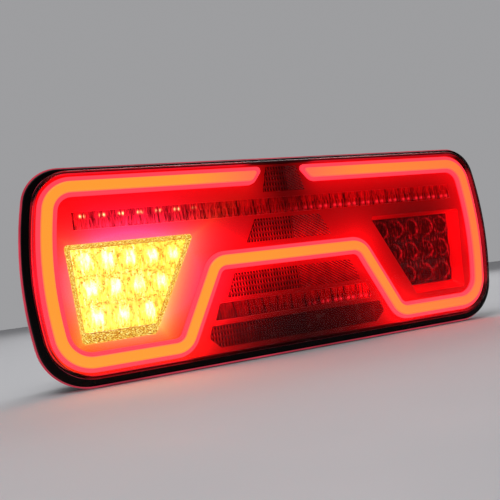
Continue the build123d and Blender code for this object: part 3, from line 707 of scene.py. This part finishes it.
def rolled_aluminium():
    """Rolled aluminium sheet: fine lines along the rolling direction."""
    material, tree, shader = new_material("aluminium sheet, rolled", "#C9CBCE", 0.35, metallic=1.0)
    lines = noise_at(tree, 1 / 1.2, 3.0, (0.04, 1.0, 2.5))
    bump = add_node(
        tree, "ShaderNodeBump", {"Height": lines, "Strength": 0.3, "Distance": 0.02 * MM}
    )
    tree.links.new(bump.outputs["Normal"], shader.inputs["Normal"])
    vary(tree, shader, 4.0, 0.28, 0.42)
    return material


def solder_resist():
    """White solder resist on glass laminate: satin, with a faint weave."""
    material, tree, shader = new_material("white solder resist, screened", "#E6E6E0", 0.4)
    weave = add_node(tree, "ShaderNodeTexBrick", {
        "Vector": place_of(tree), "Scale": 1.0, "Mortar Size": 0.12,
        "Brick Width": 0.9, "Row Height": 0.9, "Color1": rgba("#E8E8E2"),
        "Color2": rgba("#E2E2DC"), "Mortar": rgba("#D8D8D0"),
    })
    tree.links.new(weave.outputs["Color"], shader.inputs["Base Color"])
    vary(tree, shader, 5.0, 0.32, 0.48)
    return material


def diode_package():
    """White moulded diode with a yellow phosphor window on its front."""
    material, tree, shader = new_material("moulded diode with phosphor", "#EDE9DA", 0.35)
    front = calc(tree, "LESS_THAN", split(tree, normal_of(tree))[1], -0.9)
    phosphor = add_ramp(tree, noise_at(tree, 1 / 1.2), ((0.3, "#E9C24A"), (0.7, "#F4DA78")))
    tree.links.new(blend(tree, front, "#EDE9DA", phosphor), shader.inputs["Base Color"])
    return material


def epoxy_black():
    """Black moulded epoxy: matt with a slight grain."""
    material, tree, shader = new_material("black epoxy, moulded", "#1A1A1B", 0.6)
    grain(tree, shader, 0.5, 0.03)
    vary(tree, shader, 3.0, 0.5, 0.7)
    return material


def tinned_contact():
    """Tinned brass: soft grey metal."""
    material, tree, shader = new_material("brass, tinned", "#BDB9AC", 0.32, metallic=1.0)
    grain(tree, shader, 1.0, 0.01)
    vary(tree, shader, 2.0, 0.25, 0.42)
    return material


def vent_film():
    """White breathable film: matt and fibrous."""
    material, tree, shader = new_material("expanded film, white", "#E9E9EA", 0.8)
    grain(tree, shader, 0.3, 0.05)
    return material


def studio_floor(colours):
    """Matt painted floor."""
    material, tree, shader = new_material("matt floor paint", colours.floor, 0.75)
    vary(tree, shader, 60.0, 0.7, 0.85)
    return material


def give(material, *names):
    """Puts a material on CAD nodes."""
    for name in names:
        node = NODES[name]
        node.data.materials.clear()
        node.data.materials.append(material)


# ------------------------------------------------------------------ modelling tools
def start_clean():
    """Nothing selected, in object mode."""
    if bpy.context.object and bpy.context.object.mode != "OBJECT":
        bpy.ops.object.mode_set(mode="OBJECT")
    bpy.ops.object.select_all(action="DESELECT")


def pick(piece):
    """This piece alone selected, and active."""
    start_clean()
    piece.select_set(True)
    bpy.context.view_layer.objects.active = piece


def in_edit_mode(piece):
    """Opens a piece for editing with all of it selected."""
    pick(piece)
    bpy.ops.object.mode_set(mode="EDIT")
    bpy.ops.mesh.select_all(action="SELECT")


def cut_away(piece, point, outward):
    """Removes what lies beyond a plane and closes the cut."""
    in_edit_mode(piece)
    bpy.ops.mesh.bisect(plane_co=point, plane_no=outward, clear_outer=True, use_fill=True)
    bpy.ops.object.mode_set(mode="OBJECT")


def cut_to_outline(piece, corners, side=1):
    """Cuts a piece to a convex outline in X and Z, given in mm. Side -1 mirrors the outline."""
    for corner, outward in sides_of(corners):
        point = (side * corner.x * MM, 0, corner.y * MM)
        cut_away(piece, point, (side * outward.x, 0, outward.y))


def apply_modifier(piece, kind, **settings):
    """Adds one modifier and applies it."""
    pick(piece)
    modifier = piece.modifiers.new(kind.title(), kind)
    for name, value in settings.items():
        setattr(modifier, name, value)
    bpy.ops.object.modifier_apply(modifier=modifier.name)


def smooth(piece, degrees):
    """Shades a piece smooth, except at edges sharper than this."""
    pick(piece)
    bpy.ops.object.shade_smooth_by_angle(angle=math.radians(degrees))


def join(pieces, name):
    """Joins pieces into one, at the origin."""
    start_clean()
    for piece in pieces:
        piece.select_set(True)
    bpy.context.view_layer.objects.active = pieces[0]
    if len(pieces) > 1:
        bpy.ops.object.join()
    joined = bpy.context.object
    bpy.ops.object.transform_apply(location=True, rotation=True, scale=True)
    joined.name = name
    joined.data.name = name
    return joined


def mounted(piece, body, slot, material, *nodes):
    """Gives a piece its material and its body, and hides the CAD nodes that it stands for."""
    piece.data.materials.clear()
    piece.data.materials.append(material)
    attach(piece, body)
    if nodes:
        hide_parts(*nodes)
    return piece


def copies_along(piece, count, step):
    """Repeats a piece in a row."""
    apply_modifier(
        piece, "ARRAY", count=count, use_relative_offset=False, use_constant_offset=True,
        constant_offset_displace=step,
    )


def rounded_rod(name, width, height, depth, centre):
    """Half of an upright rod with rounded ends, its flat side to the back.

    It hangs from the centre, where its upper end is round, and reaches half the height below it.
    """
    start_clean()
    bpy.ops.mesh.primitive_uv_sphere_add(segments=12, ring_count=8, radius=0.5, location=centre)
    rod = bpy.context.object
    in_edit_mode(rod)
    bpy.ops.transform.resize(value=(width, 2 * depth, width))
    bpy.ops.mesh.select_all(action="DESELECT")
    bpy.ops.object.mode_set(mode="OBJECT")
    for vertex in rod.data.vertices:
        vertex.select = vertex.co.z < -0.001 * width
    bpy.ops.object.mode_set(mode="EDIT")
    bpy.ops.transform.translate(value=(0, 0, (width - height) / 2))
    bpy.ops.mesh.select_all(action="SELECT")
    bpy.ops.mesh.bisect(plane_co=centre, plane_no=(0, 1, 0), clear_outer=True, use_fill=True)
    bpy.ops.object.mode_set(mode="OBJECT")
    rod.name = name
    return rod


def bevelled_slab(name, low, high, bevel):
    """A plate between two corners with softened edges."""
    start_clean()
    centre = (Vector(low) + Vector(high)) / 2
    bpy.ops.mesh.primitive_cube_add(size=1, location=centre)
    slab = bpy.context.object
    in_edit_mode(slab)
    bpy.ops.transform.resize(value=Vector(high) - Vector(low))
    bpy.ops.mesh.bevel(offset=bevel, segments=2, affect="EDGES")
    bpy.ops.object.mode_set(mode="OBJECT")
    slab.name = name
    return slab


# ------------------------------------------------------------------ operators
class REARLAMP_OT_shells(bpy.types.Operator):
    """Finish the housing, the outer lens, its frame and the bezel"""

    bl_idname = "rearlamp.shells"
    bl_label = "Shells"

    def execute(self, context):
        colours = context.scene.rear_lamp_colours
        give(acrylic_outer_lens(), "outer_lens")
        give(piano_black(), "trim_frame")
        give(satin_red_bezel(colours), "inner_bezel")
        black = eroded_black_plastic(colours)
        give(black, "rear_housing", "inlet_socket", "inlet_nut", "vent_plug")
        give(sealing_rubber(), "lens_seal", "inlet_seal")
        give(vent_film(), "vent_membrane")
        return {"FINISHED"}


class REARLAMP_OT_guide(bpy.types.Operator):
    """Light the guide and its diffuser"""

    bl_idname = "rearlamp.guide"
    bl_label = "Light guide"

    def execute(self, context):
        colours = context.scene.rear_lamp_colours
        give(lit_guide(colours), "light_guide")
        give(lit_diffuser(colours), "guide_diffuser")
        return {"FINISHED"}


class REARLAMP_OT_inside(bpy.types.Operator):
    """Finish the boards, diodes, reflectors and screws inside"""

    bl_idname = "rearlamp.inside"
    bl_label = "Inside"

    def execute(self, context):
        give(
            vacuum_metal(), "stop_tray", "fog_tray", "reverse_reflector", "indicator_reflector"
        )
        give(solder_resist(), "main_board", "indicator_board", "reverse_board")
        give(diode_package(), "tail_leds", "stop_leds", "fog_leds", "indicator_leds", "reverse_leds")
        give(rolled_aluminium(), "heat_plates", "capacitors")
        give(epoxy_black(), "driver_chips", "choke_coils")
        give(
            zinc_plate(), "board_screws", "bezel_screws", "washer_left", "washer_right",
            "nut_left", "nut_right",
        )
        give(tinned_contact(), "inlet_contacts")
        return {"FINISHED"}


class REARLAMP_OT_reflex(bpy.types.Operator):
    """Model the reflex plates' prisms: coarse on the left half, fine and slanted on the right"""

    bl_idname = "rearlamp.reflex"
    bl_label = "Reflex plates"

    ZONES = {
        "reflex_top": ((-13, 67), (13, 67), (18, 48), (-18, 48)),
        "reflex_upper": ((-28, 28), (28, 28), (37, 11), (-37, 11)),
        "reflex_middle": ((-50, -10.5), (50, -10.5), (58, -27.5), (-58, -27.5)),
        "reflex_lower": ((-73, -46.5), (73, -46.5), (76, -55), (68, -62.5), (-68, -62.5), (-76, -55)),
    }  # each plate's corners in mm, across from the middle and up
    SUNK = 0.4 * MM  # the prisms' edges stand this far behind the CAD plate's front
    THICKNESS = 1.4 * MM
    SLANT = math.radians(58)  # the fine prisms' turn
    DEPTH = 0.42  # of a prism, which points to the back, as a share of its pitch

    def prisms(self, name, low, high, front, back, pitch, turned):
        """A closed plate of four-sided prisms between two corners."""
        start_clean()
        centre = (Vector(low) + Vector(high)) / 2
        centre.y = front
        span = Vector(high) - Vector(low)
        reach = (span.x + span.z,) * 2 if turned else (span.x, span.z)
        steps = [math.ceil(length / step) for length, step in zip(reach, pitch)]
        bpy.ops.mesh.primitive_grid_add(
            x_subdivisions=steps[0], y_subdivisions=steps[1], size=1, location=centre,
            rotation=(math.pi / 2, 0, 0),
        )
        plate = bpy.context.object
        in_edit_mode(plate)
        bpy.ops.transform.resize(value=(steps[0] * pitch[0], 1, steps[1] * pitch[1]))
        if turned:
            bpy.ops.transform.rotate(value=self.SLANT, orient_axis="Y", center_override=centre)
        bpy.ops.mesh.poke(offset=-self.DEPTH * min(pitch))
        bpy.ops.mesh.select_all(action="SELECT")
        bpy.ops.mesh.extrude_region_move(TRANSFORM_OT_translate={"value": (0, back - front, 0)})
        bpy.ops.mesh.select_all(action="SELECT")
        bpy.ops.mesh.normals_make_consistent(inside=False)
        bpy.ops.object.mode_set(mode="OBJECT")
        plate.name = name
        for side in (-1, 1):
            edge = high if side > 0 else low
            cut_away(plate, (edge[0], 0, 0), (side, 0, 0))
            cut_away(plate, (0, 0, edge[2]), (0, 0, side))
        return plate

    def execute(self, context):
        sizes = context.scene.rear_lamp_sizes
        material = reflex_red(context.scene.rear_lamp_colours)
        coarse = (sizes.coarse_prism, sizes.coarse_prism * 1.7)
        fine = (sizes.fine_prism, sizes.fine_prism)
        for node, outline in self.ZONES.items():
            low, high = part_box(node)
            front = low.y + self.SUNK
            back = front + self.THICKNESS
            middle = PRISM_SPLIT * MM
            left = self.prisms("coarse", low, (middle, high.y, high.z), front, back, coarse, False)
            right = self.prisms("fine", (middle, low.y, low.z), high, front, back, fine, True)
            plate = join([left, right], f"{node}_prisms")
            cut_to_outline(plate, outline)
            mounted(plate, "lamp", "reflex_red", material, node)
        return {"FINISHED"}


class REARLAMP_OT_strips(bpy.types.Operator):
    """Model the fluted cells of the stop and fog strips"""

    bl_idname = "rearlamp.strips"
    bl_label = "Stop and fog strips"

    SEAM = 0.15 * MM  # bare on each side of a cell
    MARGIN = 0.4 * MM  # from a cell's edge to its first flute

    def execute(self, context):
        flutes = context.scene.rear_lamp_sizes.strip_flutes
        # the gains scale the painted light at the strip's left and right ends
        for node, cells, slope, gains in (
            ("stop_optic", 24, 0.0, (1.15, 1.7)), ("fog_optic", 11, 5.0, (0.5, 2.9)),
        ):
            low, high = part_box(node)
            half = high.x - slope * MM / 2
            pitch = 2 * half / cells
            middle = (low.z + high.z) / 2
            name = f"fluted polycarbonate, {node.split('_')[0]} strip"
            material = strip_optic_clear(name, half / MM, cells, middle / MM, *gains)
            front = low.y
            slab = bevelled_slab(
                "cell", (-half + self.SEAM, front + 1.0 * MM, low.z),
                (-half + pitch - self.SEAM, front + 2.0 * MM, high.z), 0.25 * MM,
            )
            width = (pitch - 2 * self.MARGIN) / flutes
            first = Vector((-half + self.MARGIN + width / 2, front + 1.1 * MM, middle))
            rod = rounded_rod("flute", width, high.z - low.z - 1.0 * MM, 1.05 * MM, first)
            apply_modifier(rod, "SUBSURF", levels=1, render_levels=1)
            copies_along(rod, flutes, (width, 0, 0))
            strip = join([slab, rod], f"{node}_cells")
            copies_along(strip, cells, (pitch, 0, 0))
            back = bevelled_slab(
                "back", (low.x, front + 1.4 * MM, low.z), (high.x, front + 2.2 * MM, high.z),
                0.2 * MM,
            )
            strip = join([strip, back], f"{node}_cells")
            if slope:
                foot, top = half / MM + 3, half / MM - 2
                cut_to_outline(strip, (
                    (-foot, low.z / MM), (foot, low.z / MM), (top, high.z / MM), (-top, high.z / MM),
                ))
            smooth(strip, 35)
            mounted(strip, "lamp", "clear_optic", material, node)
        return {"FINISHED"}


class REARLAMP_OT_windows(bpy.types.Operator):
    """Model the fluted inner lenses of the indicator and the reversing lamp"""

    bl_idname = "rearlamp.windows"
    bl_label = "Cup windows"

    FILL = 0.98  # share of its place that a flute takes up

    def execute(self, context):
        pitch = context.scene.rear_lamp_sizes.flute_pitch
        colours = context.scene.rear_lamp_colours
        for name, side, slot, material in (
            ("indicator", -1, "amber_optic", indicator_optic(colours)),
            ("reverse", 1, "clear_optic", reversing_optic()),
        ):
            node = f"{name}_lens"
            low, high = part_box(node)
            front = low.y
            count = math.ceil((high.x - low.x) / pitch)
            pieces = [bevelled_slab("plate", (low.x, front + 1.2 * MM, low.z), high, 0.3 * MM)]
            for _, z in CUP_ROWS:
                centre = Vector((low.x + pitch / 2, front + 1.3 * MM, z * MM))
                rod = rounded_rod(
                    "flute", pitch * self.FILL, ROW_HEIGHT * MM * self.FILL, 1.2 * MM, centre
                )
                apply_modifier(rod, "SUBSURF", levels=1, render_levels=1)
                copies_along(rod, count, (pitch, 0, 0))
                pieces.append(rod)
            lens = join(pieces, f"{name}_window")
            cut_to_outline(lens, WINDOW, side)
            smooth(lens, 40)
            mounted(lens, "lamp", slot, material, node)
        return {"FINISHED"}


class REARLAMP_OT_studs(bpy.types.Operator):
    """Model the threaded studs"""

    bl_idname = "rearlamp.studs"
    bl_label = "Studs"

    HEAD_RADIUS = 7 * MM  # the CAD node's ends in X are the studs' buried heads
    BURIED = 6 * MM  # length of stud inside the housing
    SHANK_RADIUS = 3.98 * MM
    SHANK_LENGTH = 3 * MM
    CREST = 3.88 * MM
    THREAD_START = 3.2 * MM
    THREAD_ENDS = 4.4 * MM  # plain length at the two ends of the thread together
    STEPS = 28  # in one turn of the thread

    def rod(self, x, radius, low, high, bevel):
        """A rod along Y with softened edges."""
        start_clean()
        bpy.ops.mesh.primitive_cylinder_add(
            vertices=40, radius=radius, depth=high - low, location=(x, (low + high) / 2, 0),
            rotation=(math.pi / 2, 0, 0),
        )
        rod = bpy.context.object
        apply_modifier(rod, "BEVEL", width=bevel, segments=2, limit_method="ANGLE")
        return rod

    def thread(self, x, root, pitch, turns):
        """A V-shaped ridge wound round the stud's axis."""
        start_clean()
        bpy.ops.mesh.primitive_circle_add(vertices=3, radius=pitch * 0.5, location=(0, 0, 0))
        ridge = bpy.context.object
        foot, flank = root - 0.05 * MM, pitch * 0.46
        points = ((foot, -flank), (self.CREST, 0.0), (foot, flank))
        for vertex, (radius, along) in zip(ridge.data.vertices, points):
            vertex.co = (radius, along, 0)
        apply_modifier(
            ridge, "SCREW", axis="Y", screw_offset=pitch, iterations=turns,
            steps=self.STEPS, render_steps=self.STEPS,
            use_normal_calculate=True, use_merge_vertices=False,
        )
        ridge.location = (x, self.THREAD_START + pitch / 2, 0)
        in_edit_mode(ridge)
        bpy.ops.mesh.select_all(action="DESELECT")
        bpy.ops.mesh.select_non_manifold()
        bpy.ops.mesh.edge_face_add()
        bpy.ops.mesh.select_all(action="SELECT")
        bpy.ops.mesh.normals_make_consistent(inside=False)
        bpy.ops.object.mode_set(mode="OBJECT")
        return ridge

    def execute(self, context):
        pitch = context.scene.rear_lamp_sizes.thread_pitch
        low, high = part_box("mounting_studs")
        material = zinc_plate()
        root = self.CREST - 0.6 * pitch
        turns = math.floor((high.y - self.THREAD_ENDS) / pitch)
        for name, x in (
            ("stud_left", low.x + self.HEAD_RADIUS), ("stud_right", high.x - self.HEAD_RADIUS),
        ):
            core = self.rod(x, root, -self.BURIED, high.y - 0.1 * MM, 0.5 * MM)
            shank = self.rod(x, self.SHANK_RADIUS, 0, self.SHANK_LENGTH, 0.25 * MM)
            stud = join([core, shank, self.thread(x, root, pitch, turns)], name)
            smooth(stud, 35)
            mounted(stud, "lamp", "zinc_steel", material, "mounting_studs")
        return {"FINISHED"}


class REARLAMP_OT_stage(bpy.types.Operator):
    """Set up the pale floor, the soft lights and the camera"""

    bl_idname = "rearlamp.stage"
    bl_label = "Stage"

    CAMERA_PLACE = Vector((-0.2631, -0.5397, -0.0208))
    CAMERA_AIM = Vector((0.43084, 0.90108, 0.04939))
    CAMERA_UP = Vector((0.09847, -0.10135, 0.98997))

    def execute(self, context):
        scene = context.scene
        sizes, colours = scene.rear_lamp_sizes, scene.rear_lamp_colours
        scene.view_settings.view_transform = "Standard"
        low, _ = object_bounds()
        start_clean()
        bpy.ops.mesh.primitive_plane_add(size=6, location=(0, 0, low.z - 0.2 * MM))
        floor = bpy.context.object
        floor.name = "studio_floor"
        floor.data.materials.append(studio_floor(colours))
        floor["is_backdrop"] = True
        # the room is pale behind the lamp and dim in front of it, so that little shows in the lens
        world = bpy.data.worlds.new("studio")
        world.use_nodes = True
        sky = world.node_tree
        ahead = split(sky, add_node(sky, "ShaderNodeTexCoord").outputs["Generated"])[1]
        shade = add_ramp(sky, ramp_between(sky, ahead, -1.0, 1.0), (
            (0.45, (0.05, 0.05, 0.052)), (0.62, (0.34, 0.34, 0.35)),
        ))
        sky.links.new(shade, sky.nodes["Background"].inputs["Color"])
        scene.world = world
        for name, place, size, power in (
            ("soft_top", (-0.5, -0.3, 1.3), 1.2, 9.0),
            ("soft_back", (0.7, 1.1, 0.9), 1.0, 7.0),
        ):
            light = bpy.data.lights.new(name, "AREA")
            light.energy = power
            light.size = size
            lamp = bpy.data.objects.new(name, light)
            scene.collection.objects.link(lamp)
            lamp.location = place
            lamp.rotation_euler = Vector(place).to_track_quat("Z", "Y").to_euler()
        data = bpy.data.cameras.new("camera")
        camera = bpy.data.objects.new("camera", data)
        scene.collection.objects.link(camera)
        data.lens = sizes.camera_lens
        back = -self.CAMERA_AIM.normalized()
        right = self.CAMERA_UP.cross(back).normalized()
        up = back.cross(right)
        turn = Matrix((right, up, back)).transposed().to_4x4()
        camera.matrix_world = Matrix.Translation(self.CAMERA_PLACE) @ turn
        scene.camera = camera
        return {"FINISHED"}


class REARLAMP_PT_panel(bpy.types.Panel):
    """The lamp's steps and settings"""

    bl_idname = "REARLAMP_PT_panel"
    bl_label = "Rear lamp"
    bl_space_type = "VIEW_3D"
    bl_region_type = "UI"
    bl_category = "Rear lamp"

    def draw(self, context):
        layout = self.layout
        for step in STEPS:
            layout.operator(step.bl_idname)
        for group in (context.scene.rear_lamp_sizes, context.scene.rear_lamp_colours):
            for name in group.__annotations__:
                layout.prop(group, name)


STEPS = (
    REARLAMP_OT_shells,
    REARLAMP_OT_guide,
    REARLAMP_OT_inside,
    REARLAMP_OT_reflex,
    REARLAMP_OT_strips,
    REARLAMP_OT_windows,
    REARLAMP_OT_studs,
    REARLAMP_OT_stage,
)
CLASSES = (RearLampSizes, RearLampColours, *STEPS, REARLAMP_PT_panel)


def register():
    for cls in CLASSES:
        bpy.utils.register_class(cls)
    bpy.types.Scene.rear_lamp_sizes = PointerProperty(type=RearLampSizes)
    bpy.types.Scene.rear_lamp_colours = PointerProperty(type=RearLampColours)


def unregister():
    del bpy.types.Scene.rear_lamp_colours
    del bpy.types.Scene.rear_lamp_sizes
    for cls in reversed(CLASSES):
        bpy.utils.unregister_class(cls)


def main():
    register()
    for step in STEPS:
        group, name = step.bl_idname.split(".")
        getattr(getattr(bpy.ops, group), name)()


if __name__ == "__main__":
    main()
